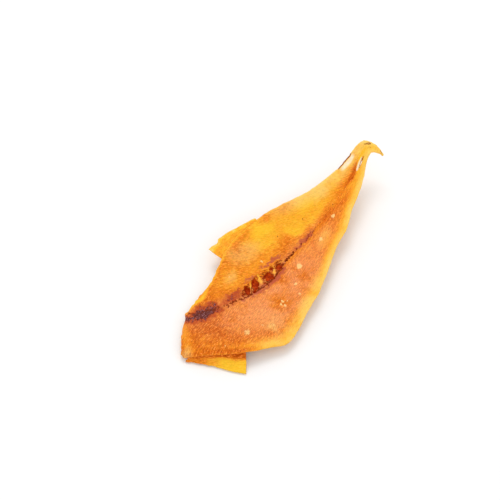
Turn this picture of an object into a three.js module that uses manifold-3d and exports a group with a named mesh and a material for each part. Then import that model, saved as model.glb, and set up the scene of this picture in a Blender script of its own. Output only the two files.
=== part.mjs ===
// A dried and smoked fillet of white fish, lying flesh side up. It is one piece: a thin sheet of
// flesh, hollow along its middle, with a belly flap bent down at the head end, a torn strip of
// skin on the dorsal margin, and a tail end that curls up into a gutter and a small hook.
// Millimetres, +Z up, tail towards +X, dorsal side towards +Y. The origin is on the table, under
// the middle of the fillet's box.

import * as THREE from 'three';
import { mergeVertices } from 'three/addons/utils/BufferGeometryUtils.js';
import Module from 'manifold-3d';

// ---- driving dimensions ----

const EDGE_THICKNESS = 1.2;
const CORE_THICKNESS = 3.6; // along the middle, at the head end
const TAIL_THICKNESS = 2.4; // along the middle, at the tail end
const FLAP_THICKNESS = 1.3;
const SKIN_THICKNESS = 1.1;
const HOLLOW_POWER = 2.1; // how roundly the sheet rises from its middle to its edges at the head
const FOLD_POWER = 1.15; // the same at the tail, where it is folded almost to a V

// Stations from the head corner to the tail tip. Each gives the belly edge, the middle and the
// dorsal edge as x, y and height, and how much the sheet arches between the middle and the edges.
const STATIONS = [
  { belly: [-99, 9, 2], middle: [-98.5, 11, 2], dorsal: [-98, 12.5, 2.5], arch: 0 },
  { belly: [-93, -2, 6], middle: [-90, 8, 5], dorsal: [-88, 18.5, 4], arch: 0.6 },
  { belly: [-86, -14, 8.5], middle: [-80, 5, 5], dorsal: [-75, 24.5, 5], arch: 1.4 },
  { belly: [-78, -24, 9], middle: [-70, 2, 4], dorsal: [-61, 26.5, 6], arch: 1.8 },
  { belly: [-68, -32.5, 7.5], middle: [-57, -1, 2.4], dorsal: [-47, 25.5, 8], arch: 1.6 },
  { belly: [-58, -40, 6], middle: [-45, -2, 1.4], dorsal: [-33, 27.5, 10.5], arch: 1.2 },
  { belly: [-45, -40, 6.5], middle: [-33, -2.5, 1], dorsal: [-22, 30, 12], arch: 1 },
  { belly: [-31, -38, 7.5], middle: [-19, -3, 0.9], dorsal: [-8, 30, 13.5], arch: 0.8 },
  { belly: [-16, -37, 8.5], middle: [-5, -3.5, 0.9], dorsal: [6, 27, 14.5], arch: 0.8 },
  { belly: [1, -33.5, 9.5], middle: [10, -4, 1.2], dorsal: [20, 24, 15], arch: 0.8 },
  { belly: [18, -29, 11], middle: [27, -5, 2.3], dorsal: [36, 17, 15], arch: 0.6 },
  { belly: [36, -26.5, 12.5], middle: [43, -6, 4.5], dorsal: [50, 11, 15], arch: 0.4 },
  { belly: [52, -22, 14.5], middle: [58, -7.5, 8], dorsal: [64, 6, 17], arch: 0.2 },
  { belly: [67, -19, 17.5], middle: [71, -7.5, 11.5], dorsal: [76, 2.8, 19], arch: 0 },
  { belly: [80, -15, 20.5], middle: [82, -7, 16], dorsal: [84.5, 1, 22], arch: 0 },
  { belly: [88.5, -12.3, 24.5], middle: [90, -6, 22], dorsal: [91.5, 0, 25.5], arch: 0 },
  { belly: [93, -12.5, 27], middle: [96, -7.5, 28], dorsal: [98.5, -3.5, 29.5], arch: 0 },
  { belly: [95.5, -16, 27], middle: [97.7, -14, 28], dorsal: [99.8, -12, 29], arch: 0 },
  { belly: [96, -20, 26], middle: [96.4, -20, 26], dorsal: [96.8, -20, 26], arch: 0 },
];

// The flap hangs from inside the folded belly edge down to the table. Its root and the root of the
// skin strip follow the sheet's own surface: between two distances along it, as shares of its
// length, and at one place across it, from 0 at the belly edge to 1 at the dorsal edge.
const FLAP = {
  from: 0.015,
  to: 0.182,
  across: 0.13,
  foot: [[-100, 8, 0.7], [-96.5, 1, 0.7], [-94, -8, 0.7], [-91.5, -18, 0.7], [-87.5, -29, 0.7]],
};

// The strip of skin runs along the dorsal edge and ends in a torn tongue towards the head.
const SKIN = {
  from: 0.314,
  to: 0.47,
  across: 0.95,
  outer: [
    [-26.2, 40.2, 12.3], [-22.5, 39.9, 12.4], [-18, 38.3, 12.6], [-15.2, 39.3, 12.8], [-11.5, 38.5, 13],
    [-6.5, 36.4, 13.3], [-1.5, 34.3, 13.6], [4.5, 31.9, 14], [8.8, 29.9, 14.3], [12.6, 27.8, 14.6],
  ],
};

// The slit in the hooked end runs through the sheet beside its fold.
const SLIT = { length: 7.5, width: 2, x: 86, y: -8.8, turn: 0.1, depth: 40 };

// ---- shape ----

const lerp = THREE.MathUtils.lerp;

const railThrough = (points) =>
  new THREE.CatmullRomCurve3(points.map((point) => new THREE.Vector3(...point)), false, 'centripetal');

// A closed sheet over a grid: surface(u, v) gives a point halfway through it, thickness(u, v) the
// vertical distance between its faces. The under face stops at the table.
function closedSheet(surface, thickness, stepsAlong, stepsAcross) {
  const positions = [];
  const indices = [];
  const faceSize = (stepsAlong + 1) * (stepsAcross + 1);
  for (const side of [0.5, -0.5]) {
    for (let i = 0; i <= stepsAlong; i += 1) {
      for (let j = 0; j <= stepsAcross; j += 1) {
        const u = i / stepsAlong;
        const v = j / stepsAcross;
        const point = surface(u, v);
        const z = point.z + side * thickness(u, v);
        positions.push(point.x, point.y, side < 0 ? Math.max(z, 0) : z);
      }
    }
  }
  const at = (i, j, under) => i * (stepsAcross + 1) + j + (under ? faceSize : 0);
  const quad = (a, b, c, d) => indices.push(a, b, c, a, c, d);
  for (let i = 0; i < stepsAlong; i += 1) {
    for (let j = 0; j < stepsAcross; j += 1) {
      quad(at(i, j), at(i + 1, j), at(i + 1, j + 1), at(i, j + 1));
      quad(at(i, j, true), at(i, j + 1, true), at(i + 1, j + 1, true), at(i + 1, j, true));
    }
    quad(at(i, 0), at(i, 0, true), at(i + 1, 0, true), at(i + 1, 0));
    quad(at(i, stepsAcross), at(i + 1, stepsAcross), at(i + 1, stepsAcross, true), at(i, stepsAcross, true));
  }
  for (let j = 0; j < stepsAcross; j += 1) {
    quad(at(0, j), at(0, j + 1), at(0, j + 1, true), at(0, j, true));
    quad(at(stepsAlong, j), at(stepsAlong, j, true), at(stepsAlong, j + 1, true), at(stepsAlong, j + 1));
  }
  const geometry = new THREE.BufferGeometry();
  geometry.setAttribute('position', new THREE.Float32BufferAttribute(positions, 3));
  geometry.setIndex(indices);
  return geometry;
}

const bellyRail = railThrough(STATIONS.map((station) => station.belly));
const middleRail = railThrough(STATIONS.map((station) => station.middle));
const dorsalRail = railThrough(STATIONS.map((station) => station.dorsal));
const archCurve = railThrough(STATIONS.map((station, i) => [i, station.arch, 0]));

// The sheet's middle surface, from u = 0 at the head to 1 at the tail and v = 0 to 1 across it.
function sheetPoint(u, v) {
  const centre = middleRail.getPoint(u);
  const edge = (v < 0.5 ? bellyRail : dorsalRail).getPoint(u);
  const out = Math.abs(2 * v - 1); // 0 at the middle, 1 at the edge
  const rise = out ** lerp(HOLLOW_POWER, FOLD_POWER, u);
  const arch = v < 0.5 ? archCurve.getPoint(u).y * 4 * out * (1 - out) : 0;
  return new THREE.Vector3(
    lerp(centre.x, edge.x, out),
    lerp(centre.y, edge.y, out),
    lerp(centre.z, edge.z, rise) + arch,
  );
}

function sheetThickness(u, v) {
  const out = Math.abs(2 * v - 1);
  return lerp(lerp(CORE_THICKNESS, TAIL_THICKNESS, u), EDGE_THICKNESS, out ** 3);
}

// A strip of even thickness, ruled between two lines along the fillet, the one on the belly side first.
function strip(bellySide, dorsalSide, thickness, stepsAlong, stepsAcross) {
  const surface = (u, v) => bellySide(u).lerp(dorsalSide(u), v);
  return closedSheet(surface, () => thickness, stepsAlong, stepsAcross);
}

const freeEdge = (points) => {
  const rail = railThrough(points);
  return (u) => rail.getPoint(u);
};

const rootLine = ({ from, to, across }) => (u) => sheetPoint(lerp(from, to, u), across);

function slitCutter() {
  const outline = new THREE.Shape();
  outline.absellipse(0, 0, SLIT.length / 2, SLIT.width / 2, 0, 2 * Math.PI, false, 0);
  const run = { depth: SLIT.depth, bevelEnabled: false, curveSegments: 6 };
  const cutter = new THREE.ExtrudeGeometry(outline, run);
  cutter.rotateZ(SLIT.turn);
  cutter.translate(SLIT.x, SLIT.y, 0);
  return cutter;
}

// ---- joining ----

const manifold = await Module();
manifold.setup();

function toSolid(geometry) {
  const plain = geometry.clone();
  plain.deleteAttribute('normal');
  plain.deleteAttribute('uv');
  const merged = mergeVertices(plain, 1e-4);
  return new manifold.Manifold(new manifold.Mesh({
    numProp: 3,
    vertProperties: merged.attributes.position.array,
    triVerts: new Uint32Array(merged.index.array),
  }));
}

function toGeometry(solid) {
  const { vertProperties, triVerts } = solid.getMesh();
  const geometry = new THREE.BufferGeometry();
  geometry.setAttribute('position', new THREE.Float32BufferAttribute(vertProperties, 3));
  geometry.setIndex([...triVerts]);
  geometry.computeVertexNormals();
  return geometry;
}

const flap = strip(freeEdge(FLAP.foot), rootLine(FLAP), FLAP_THICKNESS, 12, 5);
const skinStrip = strip(rootLine(SKIN), freeEdge(SKIN.outer), SKIN_THICKNESS, 24, 4);
const filletSolid = toSolid(closedSheet(sheetPoint, sheetThickness, 72, 14))
  .add(toSolid(flap))
  .add(toSolid(skinStrip))
  .subtract(toSolid(slitCutter()));

const smokedFlesh = new THREE.MeshStandardMaterial({ color: 0xe8923a, roughness: 0.45, metalness: 0 });
const fillet = new THREE.Mesh(toGeometry(filletSolid), smokedFlesh);
fillet.name = 'fillet';

const fish = new THREE.Group();
fish.add(fillet);

export default fish;
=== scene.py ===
"""A dried, smoked white-fish fillet, lying flesh side up on a pale studio floor.

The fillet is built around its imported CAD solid, with the same stations, in millimetres: one thin
closed sheet with a bent belly flap and a torn strip of skin joined to it. Surface relief is moved
into the mesh, and the same features are painted on as masks that the material reads.
"""

import math
from types import SimpleNamespace

import bpy
import numpy as np
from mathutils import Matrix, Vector, kdtree


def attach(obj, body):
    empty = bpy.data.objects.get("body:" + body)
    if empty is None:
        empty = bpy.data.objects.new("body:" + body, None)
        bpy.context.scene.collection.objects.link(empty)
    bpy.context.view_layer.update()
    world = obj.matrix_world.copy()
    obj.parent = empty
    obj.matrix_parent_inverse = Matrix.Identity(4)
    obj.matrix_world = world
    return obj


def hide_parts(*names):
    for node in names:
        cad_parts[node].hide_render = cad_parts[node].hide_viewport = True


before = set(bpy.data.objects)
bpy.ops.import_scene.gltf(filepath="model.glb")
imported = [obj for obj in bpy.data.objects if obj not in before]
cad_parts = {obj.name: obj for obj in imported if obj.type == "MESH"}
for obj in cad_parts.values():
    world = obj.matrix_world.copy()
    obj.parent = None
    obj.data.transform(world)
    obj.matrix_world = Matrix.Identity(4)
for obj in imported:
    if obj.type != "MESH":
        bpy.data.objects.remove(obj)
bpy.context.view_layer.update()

MM = 0.001
RANDOM = np.random.default_rng(20)

# ---- the fillet's form, in millimetres: the same stations as its CAD solid ----

LENGTH = 200

STATIONS = [  # belly edge, middle, dorsal edge, arch of the belly side
    ((-99, 9, 2), (-98.5, 11, 2), (-98, 12.5, 2.5), 0),
    ((-93, -2, 6), (-90, 8, 5), (-88, 18.5, 4), 0.6),
    ((-86, -14, 8.5), (-80, 5, 5), (-75, 24.5, 5), 1.4),
    ((-78, -24, 9), (-70, 2, 4), (-61, 26.5, 6), 1.8),
    ((-68, -32.5, 7.5), (-57, -1, 2.4), (-47, 25.5, 8), 1.6),
    ((-58, -40, 6), (-45, -2, 1.4), (-33, 27.5, 10.5), 1.2),
    ((-45, -40, 6.5), (-33, -2.5, 1), (-22, 30, 12), 1),
    ((-31, -38, 7.5), (-19, -3, 0.9), (-8, 30, 13.5), 0.8),
    ((-16, -37, 8.5), (-5, -3.5, 0.9), (6, 27, 14.5), 0.8),
    ((1, -33.5, 9.5), (10, -4, 1.2), (20, 24, 15), 0.8),
    ((18, -29, 11), (27, -5, 2.3), (36, 17, 15), 0.6),
    ((36, -26.5, 12.5), (43, -6, 4.5), (50, 11, 15), 0.4),
    ((52, -22, 14.5), (58, -7.5, 8), (64, 6, 17), 0.2),
    ((67, -19, 17.5), (71, -7.5, 11.5), (76, 2.8, 19), 0),
    ((80, -15, 20.5), (82, -7, 16), (84.5, 1, 22), 0),
    ((88.5, -12.3, 24.5), (90, -6, 22), (91.5, 0, 25.5), 0),
    ((93, -12.5, 27), (96, -7.5, 28), (98.5, -3.5, 29.5), 0),
    ((95.5, -16, 27), (97.7, -14, 28), (99.8, -12, 29), 0),
    ((96, -20, 26), (96.4, -20, 26), (96.8, -20, 26), 0),
]
HOLLOW_POWER = 2.1
FOLD_POWER = 1.15
CORE_THICKNESS = 3.6
TAIL_THICKNESS = 2.4
EDGE_THICKNESS = 1.1
RIM_ROUNDING = 0.7  # how far in from the margin the faces start to close

# The belly flap and the strip of skin: the line of the free edge, the root as from, to and place
# across the sheet, the thickness, and the share of the length that each torn end takes.
FLAP_FOOT = [(-100, 8, 0.7), (-96.5, 1, 0.7), (-94, -8, 0.7), (-91.5, -18, 0.7), (-87.5, -29, 0.7)]
FLAP_ROOT = (0.015, 0.182, 0.13)
FLAP_THICKNESS = 1.2
FLAP_FRAY = 0.004
SKIN_OUTER = [
    (-26.2, 40.2, 12.3), (-22.5, 39.9, 12.4), (-18, 38.3, 12.6), (-15.2, 39.3, 12.8), (-11.5, 38.5, 13),
    (-6.5, 36.4, 13.3), (-1.5, 34.3, 13.6), (4.5, 31.9, 14), (8.8, 29.9, 14.3), (12.6, 27.8, 14.6),
]
SKIN_ROOT = (0.314, 0.47, 0.95)
SKIN_THICKNESS = 0.9
SKIN_FRAY = 0.016
TEAR = 0.5  # how far their free edges are torn in and out

# The slit beside the fold at the tail end, cut from one height to the other.
SLIT = {"length": 7.5, "width": 2.0, "x": 86.0, "y": -8.8, "turn": 0.1, "low": 5.0, "high": 45.0}

# ---- what is on the flesh side: places in plan, in millimetres ----

# The lateral line: from the bruise on the dorsal margin, along the trough's belly side, to the tail.
LINE = [(-73, 25), (-65, 16.5), (-58, 12), (-51, 8.2), (-44.5, 5), (-38, 2), (-32, 0), (-26.5, -1.5),
        (-21.5, -3), (-16, -4), (-10, -4), (-4, -3.2), (1, -3.2), (8, -3.5), (16, -4), (27, -5.4),
        (38, -6.2), (63, -7.2), (76, -6.7), (88, -5.7)]
# Along x: how dark the line is, how wide it is and how deep its groove is.
LINE_ALONG = (-76, -64, -56, -46, -39, -28, -18, -8, 2, 11, 15, 28, 36, 60, 75, 88)
LINE_DARK = (0.7, 0.7, 0.7, 0.75, 0.9, 1.05, 1.2, 1.1, 0.76, 0.64, 0.46, 0.46, 0.4, 0.35, 0.4, 0.1)
LINE_WIDE = (1.0, 0.8, 0.7, 0.8, 0.9, 1.0, 1.05, 1.0, 0.8, 0.75, 1.6, 1.7, 0.9, 0.7, 0.9, 0.8)
LINE_DEEP = (0.1, 0.2, 0.2, 0.35, 0.8, 0.9, 1.0, 0.9, 0.7, 0.6, 0.4, 0.35, 0.3, 0.3, 0.5, 0.6)
# The torn trough beside it: the y of its middle and its half width at places along x.
TROUGH_ALONG = (-43, -38, -33, -27, -21.5, -16, -10, -4, 1.5, 5)
TROUGH_MIDDLE = (6, 4.3, 3.3, 2.6, 1.4, 0.2, -0.6, -1.1, -2.0, -2.6)
TROUGH_HALF = (0.6, 2.4, 3.4, 4.1, 4.4, 4.1, 3.2, 2.2, 1.3, 0.4)
# Pits the pin bones left: x, y, half length, half width, turn in degrees, depth.
PITS = [(-34.9, 4.5, 2.9, 2.0, 32, 1.5), (-26.7, 3.5, 3.3, 2.2, 34, 1.5), (-31.4, 1.0, 1.7, 1.0, 20, 1.0),
        (-16.4, 0.0, 3.0, 2.6, 10, 1.4), (-10.2, 1.2, 1.5, 0.9, -30, 0.9), (-5.7, -1.7, 2.3, 1.9, 32, 1.3),
        (-22.0, -1.2, 1.3, 0.7, -20, 0.8), (-38.8, 4.8, 1.0, 0.7, 50, 0.7)]
PIT_WAVER = 0.8  # how far the pits' outlines wander, in mm
# Short torn nicks in the line: x, y, half length, half width, turn, depth.
NICKS = [(1.2, -2.6, 1.3, 0.7, 10, 0.9), (3.9, -3.0, 0.9, 0.6, 60, 0.8), (6.6, -3.2, 1.1, 0.7, 20, 0.8),
         (9.4, -3.1, 0.9, 0.6, 70, 0.7), (13.0, -4.1, 1.1, 0.5, 0, 0.5), (17.2, -4.2, 1.2, 0.6, 30, 0.5),
         (-52.5, 7.3, 1.2, 0.6, 20, 0.4), (-49.7, 6.2, 1.4, 0.6, -10, 0.4)]
# Strands left standing in the trough: x, y, half length, half width, turn, height.
STRANDS = [(-30.6, 5.1, 2.7, 0.7, 40, 0.5), (-22.9, 2.4, 2.2, 1.1, 48, 0.8), (-21.3, 4.9, 2.0, 0.6, 60, 0.5),
           (-11.6, -1.6, 2.3, 0.9, 30, 0.6), (-8.7, 1.0, 1.6, 0.5, 60, 0.5), (-12.6, 2.7, 1.5, 0.5, 20, 0.4),
           (-39.4, 6.8, 1.5, 0.6, 30, 0.4), (-1.6, -0.6, 2.6, 0.5, -20, 0.4)]
# Pale spots: x, y, half length, half width, turn, height.
SPOTS = [(-0.4, -13.7, 1.9, 1.6, 32, 0.35), (-14.4, -20.1, 1.1, 0.9, 0, 0.2),
         (25.5, -14.3, 2.4, 1.2, 30, 0.15), (-30.5, -19.7, 1.3, 0.8, 70, 0.3),
         (-33.2, -20.4, 1.1, 0.6, 10, 0.25), (-33.0, -23.2, 1.2, 0.7, 40, 0.25),
         (-29.0, -22.0, 0.8, 0.5, 20, 0.2), (-64.8, -14.6, 3.2, 2.0, 30, 0.13),
         (-50.0, -25.2, 1.6, 0.6, 60, 0.1), (45.9, -12.2, 1.5, 1.1, 30, 0.3),
         (-10.3, 9.5, 0.9, 0.7, 0, 0.2), (-20.9, -26.4, 1.8, 1.4, 30, 0.1),
         (-81.8, -9.6, 0.8, 0.6, 0, 0.15), (-33.9, 18.8, 0.8, 0.6, 0, 0.1),
         (-54.0, -19.5, 1.4, 0.6, 80, 0.15)]
# Brown specks: x, y, half length, half width, turn, strength.
SPECKS = [(33.5, 5, 0.6, 0.6, 0, 1.0), (97.6, -7.2, 2.3, 1.0, -60, 0.64),
          (95.9, -9.4, 1.6, 1.1, -50, 0.42), (100, -3.4, 0.8, 0.8, 0, 0.8),
          (97.3, -17.6, 1.4, 0.8, -70, 0.6), (12, 11, 0.4, 0.4, 0, 0.8),
          (-62.0, 22.3, 0.8, 0.8, 0, 0.8), (-56.3, 16.4, 0.9, 0.9, 0, 0.7),
          (-80.5, 19.5, 0.5, 0.5, 0, 0.8), (-52.4, -9.0, 1.2, 0.8, 30, 0.36)]
# Bruises: x, y, half length, half width, turn in degrees, strength.
BRUISES = [(-66.4, 16.6, 10.5, 4.0, -28, 1.05), (-66.4, 16.2, 6, 3.6, -26, 1.4),
           (-74, 21.8, 4, 2.4, -40, 0.9), (-69.5, 13.8, 4, 2.2, -20, 0.7),
           (-63.5, 19.8, 1.8, 3.8, 10, 0.66), (-58.0, 14.4, 3.4, 3.0, 10, 0.66),
           (-45.3, 9.6, 6.5, 2.7, -14, 0.56), (-40.0, 9.2, 3.5, 1.8, -10, 0.5)]
# Purple stains along the line and round the bruises: x, y, half length, half width, turn, strength.
STAINS = [(-17, -4.9, 8, 2.2, -8, 1.3), (-8, -5.4, 6, 1.6, 4, 0.8), (-29, -2.6, 8, 2.2, -18, 1.1),
          (-40, 2.2, 6, 2.0, -35, 0.7), (-27, 8.6, 6, 2.0, -18, 0.8), (-6.5, 4.8, 8.5, 1.3, -16, 1.25),
          (22, -4.6, 10, 2.2, -7, 1.15), (-66, 16.5, 12, 6, -28, 0.7), (-45, 9.6, 9, 4.0, -14, 0.7)]
# Milky patches: x, y, half length, half width, turn, strength.
HAZE = [(-46, -28, 14, 8, -70, 0.12), (-52, -25, 6, 3.5, 40, 0.5), (-14, 21, 14, 7, -24, 0.38),
        (-34, 19, 7, 4, 0, 0.3), (57, 5, 16, 5, -22, 0.65), (83, 1, 7, 2.5, -10, 0.5),
        (98, -10, 5, 5, 0, 0.4), (-97, 9, 5, 4, 0, 0.5), (27, -16, 13, 3.4, 14, 0.2)]
# The turn of the muscle fibres on either side of the line, from the fillet's length.
BELLY_FIBRES = math.radians(5)
DORSAL_FIBRES = math.radians(-33)
# Patches of tone, from 0 (deep orange) to 1 (pale yellow): x, y, half length, half width, turn, tone.
TONES = [(-76, -4, 24, 17, -60, 0.14), (-72, 8, 14, 7, -30, 0.02), (-87, 16.5, 15, 3.4, 48, 0.52),
         (-50, 20, 14, 8, -20, 0.26), (-63, 25, 15, 2.4, -4, 0.9), (42, -1, 9, 3, -10, 0.7),
         (26, -17, 10, 5, 15, 0.6), (-32, 18, 16, 11, -14, 0.50), (-10, 13, 18, 9, -20, 0.52),
         (18, 13, 34, 10, -24, 0.76), (8, 19.5, 10, 4.5, -20, 0.98), (24, 6, 10, 4, -24, 0.86),
         (2, 12.5, 8, 3.5, -20, 0.78), (50, 7, 20, 6.5, -22, 1.1), (76, 1, 14, 5, -20, 1.1),
         (50, -10.5, 16, 4.5, -6, 0.24), (76, -5, 26, 9, -4, 0.85), (46, 0, 11, 4, -16, 0.8),
         (70, -6, 13, 4.5, 4, 0.45), (79, -6.4, 10, 3.0, 6, 0.16), (97, -9, 10, 11, 0, 0.95),
         (-42, -12, 26, 12, -10, 0.36), (-84, -8, 12, 5, -50, 0.22)]


# ---- curves and noise ----

def rail(points, u):
    """Places on the centripetal Catmull-Rom curve through the points, for u from 0 to 1."""
    points = np.asarray(points, float)
    points = np.vstack([2 * points[0] - points[1], points, 2 * points[-1] - points[-2]])
    spans = len(points) - 3
    place = np.clip(u, 0, 1) * spans
    i = np.minimum(place.astype(int), spans - 1)
    t = (place - i)[..., None]
    a, b, c, d = (points[i + k] for k in range(4))
    ab, bc, cd = (np.sqrt(np.linalg.norm(q - p, axis=-1, keepdims=True)) for p, q in ((a, b), (b, c), (c, d)))
    leave = ((b - a) / ab - (c - a) / (ab + bc) + (c - b) / bc) * bc
    arrive = ((c - b) / bc - (d - b) / (bc + cd) + (d - c) / cd) * bc
    return ((2 * t**3 - 3 * t**2 + 1) * b + (t**3 - 2 * t**2 + t) * leave
            + (3 * t**2 - 2 * t**3) * c + (t**3 - t**2) * arrive)


LATTICE = RANDOM.random((12, 128, 128)) * 2 - 1


def noise(x, y, size, layer):
    """Smooth noise from -1 to 1 over the plan, with lumps about `size` mm across."""
    x = x / size + 50.3
    y = y / size + 50.7
    i = np.floor(x).astype(int)
    j = np.floor(y).astype(int)
    s, t = x - i, y - j
    s, t = s * s * (3 - 2 * s), t * t * (3 - 2 * t)
    grid = LATTICE[layer % len(LATTICE)]
    near = grid[i % 128, j % 128] * (1 - s) + grid[(i + 1) % 128, j % 128] * s
    far = grid[i % 128, (j + 1) % 128] * (1 - s) + grid[(i + 1) % 128, (j + 1) % 128] * s
    return near * (1 - t) + far * t


def rough(x, y, size, layer, octaves=3):
    """Noise with finer noise on it."""
    total = 0
    for k in range(octaves):
        total = total + noise(x, y, size / 2**k, layer + k) / 2**k
    return total


def smooth(low, high, value):
    """0 below low, 1 above high, and a smooth step between; high may be the smaller."""
    t = np.clip((value - low) / (high - low), 0, 1)
    return t * t * (3 - 2 * t)


def blob(x, y, centre_x, centre_y, half_length, half_width, turn):
    """0 at the middle of a turned ellipse and 1 on its outline."""
    c, s = math.cos(math.radians(turn)), math.sin(math.radians(turn))
    a = ((x - centre_x) * c + (y - centre_y) * s) / half_length
    b = (-(x - centre_x) * s + (y - centre_y) * c) / half_width
    return np.sqrt(a * a + b * b)


def graded(count, centre, width, gain):
    """Values from 0 to 1, closer together round the centre."""
    t = np.linspace(0, 1, 2000)
    density = 1 + gain * np.exp(-(((t - centre) / width) ** 2))
    total = np.concatenate([[0], np.cumsum((density[1:] + density[:-1]) / 2)])
    return np.interp(np.linspace(0, 1, count), total / total[-1], t)


# ---- features as fields over the plan ----

LINE_POINTS = rail(LINE, np.linspace(0, 1, 400))


def line_distance(x, y):
    """Signed distance to the lateral line, positive on the dorsal side."""
    flat = np.stack([x.ravel(), y.ravel()], 1)
    result = np.empty(len(flat))
    for start in range(0, len(flat), 8000):
        part = flat[start:start + 8000]
        gaps = part[:, None, :] - LINE_POINTS[None]
        squared = (gaps**2).sum(2)
        nearest = squared.argmin(1)
        last = len(LINE_POINTS) - 1
        ahead = LINE_POINTS[np.minimum(nearest + 1, last)] - LINE_POINTS[np.maximum(nearest - 1, 0)]
        gap = gaps[np.arange(len(part)), nearest]
        side = np.sign(ahead[:, 0] * gap[:, 1] - ahead[:, 1] * gap[:, 0])
        result[start:start + 8000] = side * np.sqrt(squared.min(1))
    return result.reshape(x.shape)


def marks(x, y, table, soft=0.35, waver=0.45):
    """The greatest of the table's turned ellipses at each place, each as strong as its last number.

    soft is how gradual their outlines are, and waver how far the outlines wander, in mm.
    """
    wx = x + waver * (noise(x, y, 1.9, 3) + 0.6 * noise(x, y, 0.9, 4))
    wy = y + waver * (noise(x, y, 1.9, 5) + 0.6 * noise(x, y, 0.9, 6))
    most = np.zeros(x.shape)
    for px, py, length, width, turn, strength in table:
        inside = smooth(1 + soft, 1 - soft, blob(wx, wy, px, py, length, width, turn))
        most = np.maximum(most, strength * inside)
    return most


def trough_across(x, y):
    """Place across the trough, from -1 on its belly side to 1 on its dorsal side, and its half width."""
    half = np.interp(x, TROUGH_ALONG, TROUGH_HALF, left=0.02, right=0.02)
    wy = y + 0.5 * noise(x, y, 2.4, 7) + 0.25 * noise(x, y, 1.1, 8)
    return (wy - np.interp(x, TROUGH_ALONG, TROUGH_MIDDLE)) / half, half


def patch_tone(x, y):
    """The tone that the patches leave at each place, over a plain orange ground."""
    tone = np.full(x.shape, 0.3)
    wx = x + 2.5 * noise(x, y, 9, 8)
    wy = y + 2.5 * noise(x, y, 9, 9)
    for px, py, length, width, turn, value in TONES:
        share = smooth(1.35, 0.3, blob(wx, wy, px, py, length, width, turn))
        tone = tone + (value - tone) * share
    return tone


def fibre_frame(x, y, turn):
    """Along and across muscle fibres that run at this turn from the fillet's length."""
    bend = 1.5 * noise(x, y, 30, 5)
    along = x * math.cos(turn) + y * math.sin(turn)
    across = -x * math.sin(turn) + y * math.cos(turn) + bend
    return along, across


def dorsal_share(x, line):
    """1 where the fibres run as they do on the dorsal side, 0 where they run as on the belly side."""
    return smooth(-1.0, 1.5, line) * smooth(-62, -40, x)


def fibre_noise(x, y, share, length, width, layer):
    """Noise drawn out along the muscle fibres."""
    total = 0
    for turn, part in ((BELLY_FIBRES, 1 - share), (DORSAL_FIBRES, share)):
        along, across = fibre_frame(x, y, turn)
        total = total + part * noise(along / length, across / width, 1, layer)
    return total


def flesh_relief(x, y, line, margin, side):
    """How far the flesh side stands off its smooth form, in mm."""
    share = dorsal_share(x, line)
    dimples = 0.30 * rough(x, y, 13, 0, 2) + 0.12 * rough(x, y, 4.2, 2, 2)
    fibres = 0.12 * fibre_noise(x, y, share, 7, 1.4, 6) + 0.08 * fibre_noise(x, y, share, 3, 0.9, 7)
    wide = 1.1 * np.interp(x, LINE_ALONG, LINE_WIDE)
    groove = np.interp(x, LINE_ALONG, LINE_DEEP) * np.exp(-((line / wide) ** 2))
    groove = groove * (0.75 + 0.5 * noise(x, y, 1.4, 1))
    place, half = trough_across(x, y)
    trough = 0.55 * smooth(1.12, 0.75, np.abs(place)) * smooth(0.3, 1.5, half)
    gap = (np.abs(place) - 1) * half
    lips = 0.35 * np.exp(-(((gap - 1.0) / 1.1) ** 2)) * smooth(0.5, 2, half)
    strands = marks(x, y, STRANDS) + 0.5 * trough * noise(x, y, 1.3, 8)
    holes = np.maximum(marks(x, y, PITS, 0.22, PIT_WAVER), marks(x, y, NICKS))
    lip_zone = smooth(7, 1.5, margin) * (side < 0) * smooth(-52, -66, x)
    wrinkles = 0.30 * lip_zone * noise((y - x) / 12, margin / 1.5, 1, 2)
    return dimples + fibres - groove - trough + lips + strands - holes + wrinkles + marks(x, y, SPOTS)


def skin_bands(x, y, line):
    """Distance along the skin side's bands, which point towards the head at the line."""
    return x + 0.9 * np.abs(line) + 1.2 * noise(x, y, 9, 9)


def skin_relief(x, y, line):
    """How far the skin side stands off its smooth form: shallow bands across the fillet."""
    phase = skin_bands(x, y, line) / 2.3
    bands = 0.10 * np.sin(2 * np.pi * phase) * smooth(0, 2, np.abs(line))
    return bands + 0.25 * rough(x, y, 12, 1, 2) + 0.08 * rough(x, y, 3, 4, 2)


# ---- closed shells over a grid ----

def shell(middle, half, over, under, paint_over, paint_under):
    """A closed shell round a grid of middle points. The two faces share the grid's outer points."""
    rows, columns = middle.shape[:2]
    normal = np.cross(np.gradient(middle, axis=0), np.gradient(middle, axis=1))
    normal /= np.linalg.norm(normal, axis=2, keepdims=True)
    top = middle + normal * (half + over)[..., None]
    bottom = middle - normal * (half + under)[..., None]
    for face in (top, bottom):
        face[..., 2] = np.maximum(face[..., 2], 0)

    inner = np.zeros((rows, columns), bool)
    inner[1:-1, 1:-1] = True
    top_index = np.arange(rows * columns).reshape(rows, columns)
    bottom_index = top_index.copy()
    bottom_index[inner] = rows * columns + np.arange(inner.sum())

    def quads(index):
        return np.stack([index[:-1, :-1], index[1:, :-1], index[1:, 1:], index[:-1, 1:]], -1).reshape(-1, 4)

    points = np.concatenate([top.reshape(-1, 3), bottom[inner]])
    faces = np.concatenate([quads(top_index), quads(bottom_index)[:, ::-1]])
    paint = {}
    for name, values in paint_over.items():
        paint[name] = np.concatenate([values.ravel(), paint_under[name][inner]])
    return points, faces, paint


def rim(distance, rounding):
    """1 inside the margin and 0 on it, along a quarter ellipse."""
    inward = np.clip(distance / rounding, 0, 1)
    return np.sqrt(1 - (1 - inward) ** 2)


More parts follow.
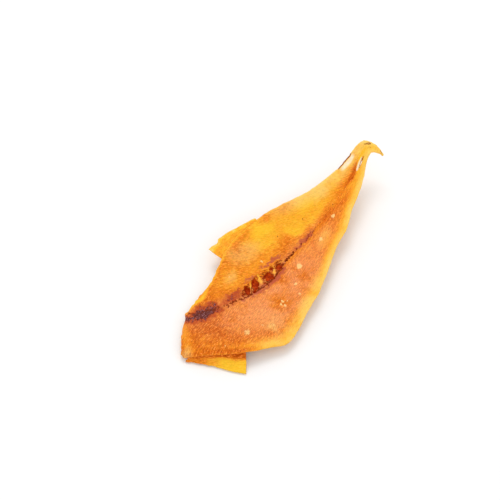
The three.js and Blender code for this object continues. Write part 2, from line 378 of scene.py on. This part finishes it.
def sheet_rails(u):
    """The belly edge, the middle, the dorsal edge and the arch at places along the sheet."""
    belly, middle, dorsal = (rail([station[k] for station in STATIONS], u) for k in range(3))
    arch = rail([(i, station[3], 0) for i, station in enumerate(STATIONS)], u)[..., 1]
    return belly, middle, dorsal, arch


def sheet_middle(u, v):
    """The sheet's middle surface, from u = 0 at the head to 1 at the tail and v = 0 to 1 across it."""
    belly, middle, dorsal, arch = sheet_rails(u)
    out = np.abs(2 * v - 1)[..., None]
    edge = np.where((v < 0.5)[..., None], belly, dorsal)
    power = (HOLLOW_POWER + (FOLD_POWER - HOLLOW_POWER) * u)[..., None]
    point = middle + (edge - middle) * out
    point[..., 2:] = middle[..., 2:] + (edge - middle)[..., 2:] * out**power
    point[..., 2] += np.where(v < 0.5, arch, 0) * (4 * out * (1 - out))[..., 0]
    return point


def margin_waver(u, side):
    """How far the margin wanders outwards, in mm: torn at the head, with a nub, and fine elsewhere."""
    run = LENGTH * u
    row = 0 * run + 9 * side
    amount = 0.35 + 0.5 * smooth(0.3, 0.1, u) * (side > 0)
    nub = 1.5 * np.exp(-(((u - 0.119) / 0.006) ** 2)) * (side > 0)
    return nub + amount * (noise(run, row, 5.0, 10) + 0.6 * noise(run, row, 1.7, 11))


def half_width_at(u):
    """Half the sheet's width in plan, in mm."""
    belly, _, dorsal, _ = sheet_rails(u)
    return 0.5 * np.linalg.norm((dorsal - belly)[..., :2], axis=-1)


def sheet_grid():
    """The sheet's grid of u and v: finer round the trough, with rings close to each margin."""
    rows, columns = 410, 94
    u = graded(rows, 0.385, 0.1, 1.1)
    spread = graded(columns, 0.57, 0.1, 1.2)
    rings = np.array([0, 0.08, 0.28, 0.7])[None, :]  # mm in from each margin
    k = np.arange(rings.size)[None, :]
    most = 0.02 * k + 0.04 * k**2 / 3  # of the width, where the tail is too narrow for the rings
    inset = np.minimum(rings / (2 * half_width_at(u)[:, None]), most)
    inner = inset[:, -1:] + spread[None, 1:-1] * (1 - 2 * inset[:, -1:])
    v = np.concatenate([inset, inner, 1 - inset[:, ::-1]], 1)
    return np.broadcast_to(u[:, None], v.shape), v


def fillet_sheet():
    """The main sheet of flesh, as points, faces and paint."""
    u, v = sheet_grid()
    belly, middle, dorsal, _ = sheet_rails(u[:, 0])
    point = sheet_middle(u, v)
    out = np.abs(2 * v - 1)
    side = np.where(v < 0.5, -1.0, 1.0)
    outward = np.where((v < 0.5)[..., None], (belly - middle)[:, None], (dorsal - middle)[:, None])[..., :2]
    outward = outward / np.linalg.norm(outward, axis=-1, keepdims=True)
    point[..., :2] += outward * (margin_waver(u, side) * out**10)[..., None]

    thickness = CORE_THICKNESS + (TAIL_THICKNESS - CORE_THICKNESS) * u
    thickness = thickness + (EDGE_THICKNESS - thickness) * out**3
    margin = (1 - out) * half_width_at(u[:, 0])[:, None]
    end = np.minimum(u, 1 - u) * LENGTH
    closing = rim(margin, RIM_ROUNDING) * rim(end, RIM_ROUNDING)

    x, y = point[..., 0], point[..., 1]
    line = line_distance(x, y)
    paint = paint_flesh(x, y, side, line, margin)
    skin_paint = paint_skin(x, y, line, margin)
    calm = closing * smooth(0, 1.8, margin)
    return shell(point, closing * thickness / 2, calm * flesh_relief(x, y, line, margin, side),
                 calm * skin_relief(x, y, line), paint, skin_paint)


def strip_shell(belly_side, dorsal_side, thickness, fray, rows, columns, painter):
    """A thin strip ruled between two lines along the fillet, each a function of u, with torn ends.

    fray is the share of its length that each end is torn back, on average.
    """
    t = np.linspace(0, 1, rows)[:, None]
    v = np.concatenate([[0, 0.01, 0.03], np.linspace(0.07, 0.93, columns), [0.97, 0.99, 1]])[None, :]
    low = fray * (1 + rough(10 * v, 0 * v, 2.2, 6, 3))
    high = fray * (1 + rough(10 * v, 0 * v, 2.2, 9, 3))
    u = low + (1 - low - high) * t
    v = np.broadcast_to(v, u.shape)
    a, b = belly_side(u), dorsal_side(u)
    point = a + (b - a) * v[..., None]
    width = np.linalg.norm(b - a, axis=-1)
    length = np.linalg.norm(np.diff(point[:, 0], axis=0), axis=1).sum()
    across = np.minimum(v, 1 - v) * width
    closing = rim(across, 0.6) * rim(np.minimum(t, 1 - t) * length, 0.6)
    x, y = point[..., 0], point[..., 1]
    ripple = 0.22 * rough(x, y, 5, 3, 2) * closing
    paint = painter(x, y, u, v)
    return shell(point, closing * thickness / 2, ripple, -ripple, paint, paint)


def root_line(where):
    """The line on the sheet's middle surface that a strip grows from."""
    low, high, across = where
    return lambda u: sheet_middle(low + (high - low) * u, np.full(u.shape, across))


def torn_edge(points, layer):
    """A free edge through the points, torn in and out."""
    def edge(u):
        line = rail(points, u)
        away = np.gradient(line, axis=0)[..., [1, 0, 2]] * (-1, 1, 0)
        away /= np.linalg.norm(away, axis=-1, keepdims=True)
        run = 40 * u
        return line + away * (TEAR * rough(run, 0 * run, 6, layer, 3))[..., None]
    return edge


# ---- what is painted on ----

# Masks from 0 to 1, then the share of dorsal fibres, then the places along and across the grain.
PAINT = ("tone", "pink", "cream", "bruise", "stain", "blood", "pit", "pale", "brown", "film", "skin",
         "dorsal", "along", "across")
STRIP_GRAIN = 42  # how far the place along the grain runs over a strip's length


def blank_paint(x, **given):
    """A value for every mask: the ones given, and nothing for the rest."""
    return {name: np.zeros(x.shape) + given.get(name, 0) for name in PAINT}


def belly_stripe_and_glow(x, y, side, margin):
    """The yellow stripe along the thin belly margin, partly the flesh's own yellow and partly painted glow of
    light through it; it fades out at the head.
    """
    reach = np.interp(x, [-90, -5, 10, 60], [10.5, 10.5, 8.5, 9])
    stripe = smooth(1.05, 0.15, (margin + 0.8 * noise(x, y, 7, 1)) / reach) * (side < 0)
    return stripe * np.interp(x, [-90, -82, -74, -64, -45, -20, 90], [0, 0.1, 0.6, 0.9, 0.9, 0.9, 1.0])


def flesh_tone(x, y, side, margin, stripe):
    """The tone of the patches, the belly stripe, the thin edge made paler by painted glow, and painted shade
    along the fold above the flap.
    """
    tone = patch_tone(x, y)
    tone = tone + (0.92 - tone) * stripe
    # Painted glow: the thin edge is made paler, standing in for light that shines through it.
    brink_glow = smooth(2.2, 0.3, margin) * np.interp(x, [-100, -66, -55, 100], [0.15, 0.15, 0.55, 0.5])
    tone = tone + (1.0 - tone) * brink_glow
    # Painted shade: a band along the fold above the flap is darkened, where the sheet's lip shades it.
    crease_shade = smooth(2.5, 0.5, np.abs(margin - 2.0)) * (side < 0) * smooth(-70, -78, x)
    return tone * (1 - 0.6 * crease_shade)


def line_blood(x, y, line):
    """Dried blood along the lateral line, uneven and broken."""
    wide = np.interp(x, LINE_ALONG, LINE_WIDE)
    wander = line + 0.7 * noise(x, y, 2.8, 2) + 0.5 * noise(x, y, 1.2, 3)
    broken = 0.85 + 0.5 * noise(x, y, 1.5, 8)
    return np.interp(x, LINE_ALONG, LINE_DARK) * np.exp(-((wander / wide) ** 2)) * broken


def slit_blood(x, y):
    """The brown line down one side of the slit."""
    aside = np.abs(y + 9.9 - 0.1 * (x - SLIT["x"]))
    return 0.8 * smooth(0.55, 0.1, aside) * (np.abs(x - 87) < 3.4)


def milky(x, y, side, margin, stripe):
    """How cream the flesh is: near the margins, on the belly stripe and in the hazy patches."""
    cream = np.maximum(0.75 * smooth(9, 0, margin) * (side > 0) * smooth(10, 45, x),
                       0.6 * smooth(5, 0, margin) * (side < 0) * smooth(-78, -55, x))
    cream = np.maximum(cream, 0.5 * stripe * smooth(-76, -62, x) * smooth(15, -15, x))
    wx = x + 2 * noise(x, y, 6, 4)
    wy = y + 2 * noise(x, y, 6, 5)
    for px, py, length, width, turn, strength in HAZE:
        patch = smooth(1.3, 0.2, blob(wx, wy, px, py, length, width, turn))
        cream = np.maximum(cream, strength * patch)
    return cream


def tail_film_and_slit_light(x, y, side, margin):
    """The pale membrane on the dorsal margin by the tail, its dark rim, partly painted shadow, and pale paint
    round the slit that stands in for light seen through it.
    """
    near_tail = (side > 0) * smooth(73, 77, x) * smooth(90, 87, x)
    # A dark line on the membrane's margin, partly painted shadow of its edge.
    dark_rim_and_shadow = smooth(0.75, 0.35, margin) * near_tail
    film = smooth(0.6, 1.0, margin) * smooth(3.4, 2.2, margin) * near_tail * smooth(75, 79, x)
    # Painted light: the slit's walls and lips are painted pale, as if lit through the opening.
    from_slit = blob(x, y, SLIT["x"], SLIT["y"], SLIT["length"] / 2, SLIT["width"] / 2, 6)
    return np.maximum(film, 0.9 * smooth(1.2, 0.95, from_slit)), dark_rim_and_shadow


def paint_flesh(x, y, side, line, margin):
    """Masks for the flesh side."""
    place, half = trough_across(x, y)
    floor = smooth(1.0, 0.7, np.abs(place)) * smooth(0.5, 2, half)
    wall = np.exp(-(((np.abs(place) - 1) * half / 0.5) ** 2)) * smooth(0.5, 2, half)
    strands = np.minimum(2 * marks(x, y, STRANDS), 1)
    hole = marks(x, y, PITS, 0.4, PIT_WAVER)
    pit = smooth(0.3, 0.9, hole) * (1 - strands)

    # The yellow belly stripe, partly painted glow of light through the thin margin.
    stripe = belly_stripe_and_glow(x, y, side, margin)
    tone = flesh_tone(x, y, side, margin, stripe)
    tone = tone + (0.2 - tone) * floor
    tone = tone + (0.8 - tone) * strands
    pink = np.where(side > 0, 0.8 * smooth(8, 0, line), smooth(1.0, 7, -line)) * (1 - stripe)
    pink = pink * np.interp(x, [-5, 15, 30, 58], [1, 0.5, 0.4, 0]) * smooth(-86, -50, x + 0.4 * y)

    blood = np.maximum(line_blood(x, y, line), np.where(place > 0, 0.62, 0.5) * wall)
    for other in (0.5 * floor, 1.1 * marks(x, y, NICKS) / 0.9, slit_blood(x, y)):
        blood = np.maximum(blood, other)
    blood = np.maximum(blood * (1 - 0.9 * strands), 0.8 * smooth(0.1, 0.5, hole))

    # Pale marks: the spots, and partly painted highlights on the trough's floor and on the strands that stand
    # up in it.
    pale = np.maximum(np.minimum(5 * marks(x, y, SPOTS), 1), 0.3 * floor * (1 - pit))
    pale = np.maximum(pale, 0.3 * strands)
    film, dark_rim_and_shadow = tail_film_and_slit_light(x, y, side, margin)
    # Brown: the specks, and the membrane's dark rim, which is partly painted shadow.
    brown = np.maximum(marks(x, y, SPECKS, 0.4), dark_rim_and_shadow)
    along, across = fibre_frame(x, y, BELLY_FIBRES)
    return blank_paint(
        x, tone=tone, pink=pink, cream=milky(x, y, side, margin, stripe),
        bruise=marks(x, y, BRUISES, 0.9, 1.2), stain=marks(x, y, STAINS, 0.9, 1.2),
        blood=blood, pit=pit, pale=pale, brown=brown, film=film,
        dorsal=dorsal_share(x, line), along=along, across=across,
    )


def paint_skin(x, y, line, margin):
    """Masks for the skin side: striped membrane that thins to amber at the margins."""
    edge = smooth(11, 1, margin + 1.5 * noise(x, y, 5, 3))
    return blank_paint(x, tone=0.35 + 0.5 * edge, skin=1 - 0.75 * edge,
                       along=skin_bands(x, y, line), across=y)


def paint_flap(x, y, u, v):
    """The bent-under flap: deep orange along its root, as painted shade under the sheet's lip, and at its
    head end; yellow at its outer corner, partly painted glow of light through the thin flap.
    """
    # Painted shade towards the root, under the sheet's lip, and painted glow towards the free edge.
    free = smooth(0.66, 0.4, v + 0.06 * noise(x, y, 4, 2))
    tone = 0.05 + 0.92 * free * (0.25 + 0.75 * smooth(0.2, 0.65, u + 0.1 * noise(x, y, 6, 3)))
    foot = 0.35 * smooth(0.05, 0.0, v)
    return blank_paint(x, tone=tone + foot, along=STRIP_GRAIN * u, across=13 * v)


def paint_tab(x, y, u, v):
    """The torn skin: amber, brownish along its root, with a pale outer rim."""
    outer = smooth(0.6, 1.0, v + 0.15 * noise(x, y, 3, 2))
    root = smooth(0.35, 0.1, v + 0.1 * noise(x, y, 2, 4))
    return blank_paint(x, tone=0.66 + 0.34 * outer - 0.3 * root, brown=0.4 * root, pale=0.5 * outer,
                       along=STRIP_GRAIN * u, across=9 * v)


# ---- joining ----

def mesh_object(name, points, faces):
    mesh = bpy.data.meshes.new(name)
    mesh.from_pydata((points * MM).tolist(), [], faces.tolist())
    mesh.validate()
    thing = bpy.data.objects.new(name, mesh)
    bpy.context.scene.collection.objects.link(thing)
    return thing


def boolean(thing, other, operation):
    """Joins the other object to the thing, or cuts it out, and removes it."""
    change = thing.modifiers.new("join", "BOOLEAN")
    change.operation = operation
    change.solver = "MANIFOLD"
    change.object = other
    graph = bpy.context.evaluated_depsgraph_get()
    joined = bpy.data.meshes.new_from_object(thing.evaluated_get(graph))
    thing.modifiers.clear()
    old = thing.data
    thing.data = joined
    bpy.data.meshes.remove(old)
    bpy.data.objects.remove(other)


def slit_cutter():
    """An upright prism of the slit's outline: an ellipse that narrows towards the head."""
    count = 24
    turns = np.linspace(0, 2 * np.pi, count, endpoint=False)
    c, s = math.cos(SLIT["turn"]), math.sin(SLIT["turn"])
    a = np.cos(turns) * SLIT["length"] / 2
    b = np.sin(turns) * SLIT["width"] / 2 * (0.6 + 0.4 * np.cos(turns))
    ring = np.stack([SLIT["x"] + a * c - b * s, SLIT["y"] + a * s + b * c], 1)
    levels = [np.concatenate([ring, np.full((count, 1), SLIT[end])], 1) for end in ("low", "high")]
    sides = [(i, (i + 1) % count, count + (i + 1) % count, count + i) for i in range(count)]
    ends = [tuple(range(count - 1, -1, -1)), tuple(range(count, 2 * count))]
    mesh = bpy.data.meshes.new("slit")
    mesh.from_pydata((np.concatenate(levels) * MM).tolist(), [], sides + ends)
    thing = bpy.data.objects.new("slit", mesh)
    bpy.context.scene.collection.objects.link(thing)
    return thing


def transfer_paint(mesh, points, paint):
    """Gives each point of the joined mesh the masks of the nearest point it was made from."""
    tree = kdtree.KDTree(len(points))
    for i, point in enumerate(points * MM):
        tree.insert(point, i)
    tree.balance()
    nearest = [tree.find(vertex.co)[1] for vertex in mesh.vertices]
    for name, values in paint.items():
        attribute = mesh.attributes.new(name, "FLOAT", "POINT")
        attribute.data.foreach_set("value", values[nearest].astype(np.float32))


def make_fillet():
    """The whole fillet: the sheet, with the flap and the skin strip joined on and the slit cut."""
    sheet = fillet_sheet()
    flap = strip_shell(torn_edge(FLAP_FOOT, 2), root_line(FLAP_ROOT), FLAP_THICKNESS, FLAP_FRAY,
                       rows=130, columns=30, painter=paint_flap)
    skin = strip_shell(root_line(SKIN_ROOT), torn_edge(SKIN_OUTER, 5), SKIN_THICKNESS, SKIN_FRAY,
                       rows=110, columns=24, painter=paint_tab)
    shells = [sheet, flap, skin]
    fillet = mesh_object("fillet_flesh", *sheet[:2])
    boolean(fillet, mesh_object("flap", *flap[:2]), "UNION")
    boolean(fillet, mesh_object("skin", *skin[:2]), "UNION")
    boolean(fillet, slit_cutter(), "DIFFERENCE")
    points = np.concatenate([part[0] for part in shells])
    paint = {name: np.concatenate([part[2][name] for part in shells]) for name in sheet[2]}
    transfer_paint(fillet.data, points, paint)
    fillet.data.polygons.foreach_set("use_smooth", [True] * len(fillet.data.polygons))
    fillet.data.materials.clear()
    return fillet


# ---- material ----

def rgba(colour):
    return (*colour, 1.0)


class Nodes:
    """Short calls that add shader nodes and join them."""

    def __init__(self, material):
        material.use_nodes = True
        self.tree = material.node_tree
        self.tree.nodes.clear()

    def add(self, kind, inputs=(), **settings):
        node = self.tree.nodes.new(kind)
        for key, value in settings.items():
            setattr(node, key, value)
        for key, value in dict(inputs).items():
            if isinstance(value, bpy.types.NodeSocket):
                self.tree.links.new(value, node.inputs[key])
            else:
                node.inputs[key].default_value = value
        return node

    def mask(self, name):
        return self.add("ShaderNodeAttribute", attribute_name=name).outputs["Fac"]

    def maths(self, operation, a, b):
        return self.add("ShaderNodeMath", {0: a, 1: b}, operation=operation).outputs[0]

    def sway(self, value, amount):
        """A noise swung about 0, half of this amount each way."""
        return self.maths("MULTIPLY", self.maths("SUBTRACT", value, 0.5), amount)

    def total(self, *values):
        result = values[0]
        for value in values[1:]:
            result = self.maths("ADD", result, value)
        return result

    def step(self, value, low, high):
        """0 where the value is at low, 1 where it is at high, with a smooth step between."""
        inputs = {"Value": value, "From Min": low, "From Max": high}
        return self.add("ShaderNodeMapRange", inputs, interpolation_type="SMOOTHSTEP").outputs["Result"]

    def mix(self, share, a, b, blend="MIX"):
        inputs = {0: share, 6: a, 7: b}
        return self.add("ShaderNodeMix", inputs, data_type="RGBA", blend_type=blend).outputs[2]

    def blend(self, share, a, b):
        return self.add("ShaderNodeMix", {0: share, 2: a, 3: b}, data_type="FLOAT").outputs[0]

    def stretch(self, vector, factors):
        return self.add("ShaderNodeVectorMath", {0: vector, 1: factors}, operation="MULTIPLY").outputs[0]

    def noise(self, vector, scale, detail, roughness):
        inputs = {"Vector": vector, "Scale": scale, "Detail": detail, "Roughness": roughness}
        return self.add("ShaderNodeTexNoise", inputs).outputs["Fac"]

    def vector(self, x, y, z=0.0):
        return self.add("ShaderNodeCombineXYZ", {0: x, 1: y, 2: z}).outputs[0]

    def ramp(self, value, stops):
        node = self.add("ShaderNodeValToRGB", {"Fac": value})
        node.color_ramp.interpolation = "B_SPLINE"
        while len(node.color_ramp.elements) < len(stops):
            node.color_ramp.elements.new(0.5)
        for element, (place, colour) in zip(node.color_ramp.elements, stops):
            element.position = place
            element.color = rgba(colour)
        return node.outputs["Color"]

    def finish(self, inputs):
        """Ends the tree in one principled shader."""
        shader = self.add("ShaderNodeBsdfPrincipled", inputs)
        output = self.add("ShaderNodeOutputMaterial")
        self.tree.links.new(shader.outputs[0], output.inputs["Surface"])


DEEP = (0.56, 0.084, 0.002)
ORANGE = (0.80, 0.210, 0.010)
AMBER = (0.91, 0.345, 0.022)
YELLOW = (0.96, 0.57, 0.030)
CREAM = (0.96, 0.64, 0.20)
PINK = (0.84, 0.29, 0.115)
FLECK_AND_GLINT = (0.96, 0.51, 0.13)
PALE = (0.96, 0.66, 0.26)
BRUISE = (0.065, 0.005, 0.012)
FRINGE = (0.48, 0.060, 0.014)
STAIN = (0.43, 0.062, 0.05)
BLOOD = (0.22, 0.022, 0.001)
PIT = (0.33, 0.015, 0.0003)
PIT_LIGHT = (0.58, 0.060, 0.002)
BROWN = (0.29, 0.070, 0.012)
FILM_AND_SLIT_LIGHT = (0.96, 0.82, 0.56)
LILAC = (0.50, 0.22, 0.24)
SKIN = (0.86, 0.60, 0.34)
STRIPE = (0.62, 0.30, 0.10)


def make_noises(n):
    """The noises that the material is made of: two drawn out along the fibres and three even ones."""
    place = n.add("ShaderNodeTexCoord").outputs["Object"]
    belly = n.vector(n.mask("along"), n.mask("across"))
    turn = BELLY_FIBRES - DORSAL_FIBRES
    rotated = n.add("ShaderNodeVectorRotate", {"Vector": belly, "Angle": turn}, rotation_type="Z_AXIS")

    def drawn_out(scale, detail, roughness):
        """Noise along the fibres on the belly side, blended into noise along the dorsal ones."""
        sides = []
        for fibres in (belly, rotated.outputs[0]):
            sides.append(n.noise(n.stretch(fibres, (0.22, 1, 1)), scale, detail, roughness))
        return n.blend(n.mask("dorsal"), *sides)

    return SimpleNamespace(
        streak=drawn_out(0.8, 2.0, 0.6), stroke=drawn_out(1.7, 1.0, 0.5),
        cloud=n.noise(place, 90, 3.0, 0.5), mottle=n.noise(place, 520, 2.0, 0.6),
        grain=n.noise(place, 1300, 2.0, 0.6),
    )


def flesh_colour(n, noises):
    """Amber flesh from deep orange to yellow, with its fibres, pale flecks along them that are partly painted
    glints, and painted shade of the fine relief multiplied in.
    """
    tone = n.mask("tone")
    lively = n.maths("MAXIMUM", n.maths("SUBTRACT", 0.9, n.maths("MULTIPLY", tone, 0.65)), 0.25)
    texture = n.total(n.sway(noises.streak, 1.05), n.sway(noises.mottle, 0.5), n.sway(noises.cloud, 0.9))
    tone = n.maths("ADD", tone, n.maths("MULTIPLY", texture, lively))
    colour = n.ramp(tone, [(0.0, DEEP), (0.36, ORANGE), (0.66, AMBER), (1.0, YELLOW)])
    pink = n.maths("MULTIPLY", n.mask("pink"), n.step(noises.cloud, 0.25, 0.6))
    colour = n.mix(n.maths("MULTIPLY", pink, 0.72), colour, rgba(PINK))
    cream = n.maths("MULTIPLY", n.mask("cream"), n.step(noises.cloud, 0.15, 0.6))
    colour = n.mix(cream, colour, rgba(CREAM))
    # Pale flecks along the fibres, partly the flesh's own and partly painted glints.
    fleck_and_glint = n.maths("MULTIPLY", n.step(noises.stroke, 0.50, 0.64), n.step(noises.grain, 0.44, 0.60))
    fleck_and_glint = n.maths("MULTIPLY", fleck_and_glint, n.maths("SUBTRACT", 0.4, n.maths("MULTIPLY", n.mask("tone"), 0.2)))
    colour = n.mix(fleck_and_glint, colour, rgba(FLECK_AND_GLINT))
    # Painted shade and glints of the fine relief: a grey pattern along the fibres, multiplied into the
    # colour.
    shade = n.total(n.sway(noises.grain, 0.95), n.sway(noises.mottle, 0.35), n.sway(noises.stroke, 1.5))
    shade = n.maths("MAXIMUM", n.maths("ADD", 1.0, n.maths("MULTIPLY", shade, lively)), 0.66)
    return n.mix(1.0, colour, n.vector(shade, shade, shade), "MULTIPLY")


def marked_colour(n, noises, colour):
    """The colour with the spots, stains, bruises, blood, pits, membrane and specks over it; among them are
    painted highlights, painted light round the slit and a partly painted shadow on the membrane's rim.
    """

    def granular(mask, low, high, amount=1.6, whole=0.2):
        """The mask cut to an uneven, granular edge; nothing where the mask is nothing."""
        sway = n.maths("ADD", n.sway(noises.mottle, amount), n.sway(noises.grain, amount))
        cut = n.step(n.maths("ADD", mask, sway), low, high)
        return n.maths("MULTIPLY", cut, n.step(mask, 0.02, whole))

    # Pale spots, and painted highlights on the trough's floor and strands.
    pale = n.maths("MULTIPLY", granular(n.mask("pale"), 0.3, 0.8, 0.8), 0.8)
    colour = n.mix(pale, colour, rgba(PALE))
    stain = n.maths("MULTIPLY", granular(n.mask("stain"), 0.15, 0.95, 2.0, 0.6), 0.75)
    colour = n.mix(stain, colour, rgba(STAIN))

    frayed = n.maths("ADD", n.sway(noises.stroke, 1.2), n.sway(noises.mottle, 0.9))
    bruise = n.maths("ADD", n.mask("bruise"), frayed)
    reached = n.step(n.mask("bruise"), 0.02, 0.3)
    fringe = n.maths("MULTIPLY", n.step(bruise, 0.05, 0.42), reached)
    colour = n.mix(n.maths("MULTIPLY", fringe, 0.85), colour, rgba(FRINGE))
    core = n.maths("MULTIPLY", n.step(bruise, 0.45, 0.8), reached)
    colour = n.mix(n.maths("MULTIPLY", core, 0.92), colour, rgba(BRUISE))
    lilac = n.maths("MULTIPLY", core, n.step(noises.grain, 0.50, 0.62))
    colour = n.mix(n.maths("MULTIPLY", lilac, 0.5), colour, rgba(LILAC))

    colour = n.mix(granular(n.mask("blood"), 0.38, 0.72, 2.0), colour, rgba(BLOOD))
    bottom = n.mix(n.step(noises.mottle, 0.45, 0.62), rgba(PIT), rgba(PIT_LIGHT))
    colour = n.mix(granular(n.mask("pit"), 0.25, 0.65, 0.9), colour, bottom)
    # The pale membrane, and the painted light round the slit.
    colour = n.mix(n.mask("film"), colour, rgba(FILM_AND_SLIT_LIGHT))
    # Brown specks, and the membrane's dark rim, partly painted shadow.
    return n.mix(granular(n.mask("brown"), 0.3, 0.8, 0.8), colour, rgba(BROWN))


def skin_colour(n, noises):
    """The cream membrane of the skin side, with broken stripes and amber patches."""
    bands = {"Vector": n.vector(n.mask("along"), 0.0), "Scale": 0.138, "Distortion": 1.5, "Detail": 2.0}
    stripes = n.add("ShaderNodeTexWave", bands).outputs["Fac"]
    broken = n.maths("MULTIPLY", n.step(noises.cloud, 0.3, 0.55), n.step(noises.mottle, 0.25, 0.5))
    stripes = n.maths("MULTIPLY", stripes, broken)
    colour = n.mix(n.maths("MULTIPLY", stripes, 0.85), rgba(SKIN), rgba(STRIPE))
    return n.mix(n.maths("MULTIPLY", n.step(noises.cloud, 0.42, 0.72), 0.75), colour, rgba(AMBER))


def smoked_flesh():
    """The fillet's one material, for the flesh side and the skin side alike."""
    material = bpy.data.materials.new("smoked_flesh")
    n = Nodes(material)
    noises = make_noises(n)
    colour = marked_colour(n, noises, flesh_colour(n, noises))
    colour = n.mix(n.mask("skin"), colour, skin_colour(n, noises))
    roughness = n.maths("ADD", 0.36, n.maths("MULTIPLY", noises.mottle, 0.3))
    height = n.total(n.maths("MULTIPLY", noises.streak, 0.6), n.maths("MULTIPLY", noises.mottle, 0.6),
                     n.maths("MULTIPLY", noises.grain, 0.25))
    bump = n.add("ShaderNodeBump", {"Strength": 0.6, "Distance": 0.0005, "Height": height})
    n.finish({
        "Base Color": colour, "Roughness": roughness, "Normal": bump.outputs["Normal"],
        "Subsurface Weight": 0.15, "Subsurface Radius": (1.0, 0.35, 0.10), "Subsurface Scale": 0.0015,
        "Specular IOR Level": 0.2, "Specular Tint": (1.0, 0.62, 0.18, 1.0),
    })
    return material


# ---- the studio ----

CAMERA_AZIMUTH = math.radians(-57.5)
CAMERA_ELEVATION = math.radians(50)
CAMERA_DISTANCE = 0.9
CAMERA_TARGET = Vector((-0.0084, 0.0191, 0.008))


def make_camera():
    data = bpy.data.cameras.new("camera")
    data.lens = 100
    data.sensor_width = 36
    camera = bpy.data.objects.new("camera", data)
    bpy.context.scene.collection.objects.link(camera)
    back = Vector((math.sin(CAMERA_AZIMUTH) * math.cos(CAMERA_ELEVATION),
                   -math.cos(CAMERA_AZIMUTH) * math.cos(CAMERA_ELEVATION),
                   math.sin(CAMERA_ELEVATION)))
    camera.location = CAMERA_TARGET + back * CAMERA_DISTANCE
    camera.rotation_euler = (-back).to_track_quat("-Z", "Y").to_euler()
    bpy.context.scene.camera = camera


def make_floor():
    half = 3.0
    below = -0.0002  # just clear of the fillet's underside
    corners = [(-half, -half, below), (half, -half, below), (half, half, below), (-half, half, below)]
    mesh = bpy.data.meshes.new("floor")
    mesh.from_pydata(corners, [], [(0, 1, 2, 3)])
    floor = bpy.data.objects.new("floor", mesh)
    bpy.context.scene.collection.objects.link(floor)
    material = bpy.data.materials.new("paper_white")
    Nodes(material).finish({"Base Color": rgba((0.93, 0.93, 0.93)), "Roughness": 0.8})
    mesh.materials.append(material)


def area_light(name, place, size, power):
    """A round soft light that points at the origin."""
    data = bpy.data.lights.new(name, "AREA")
    data.shape = "DISK"
    data.size = size
    data.energy = power
    light = bpy.data.objects.new(name, data)
    light.location = place
    light.rotation_euler = (-Vector(place)).to_track_quat("-Z", "Y").to_euler()
    bpy.context.scene.collection.objects.link(light)


def make_lights():
    world = bpy.data.worlds.new("studio")
    world.use_nodes = True
    background = world.node_tree.nodes["Background"]
    background.inputs["Color"].default_value = (1, 1, 1, 1)
    background.inputs["Strength"].default_value = 0.85
    bpy.context.scene.world = world
    area_light("key", (0.5, 0.45, 1.3), 0.8, 5.6)
    area_light("fill", (-0.9, -0.6, 0.9), 0.9, 2)


bpy.context.scene.view_settings.view_transform = "Standard"
make_camera()
make_lights()
make_floor()

fillet = make_fillet()
fillet.data.materials.append(smoked_flesh())
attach(fillet, "root")
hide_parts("fillet")
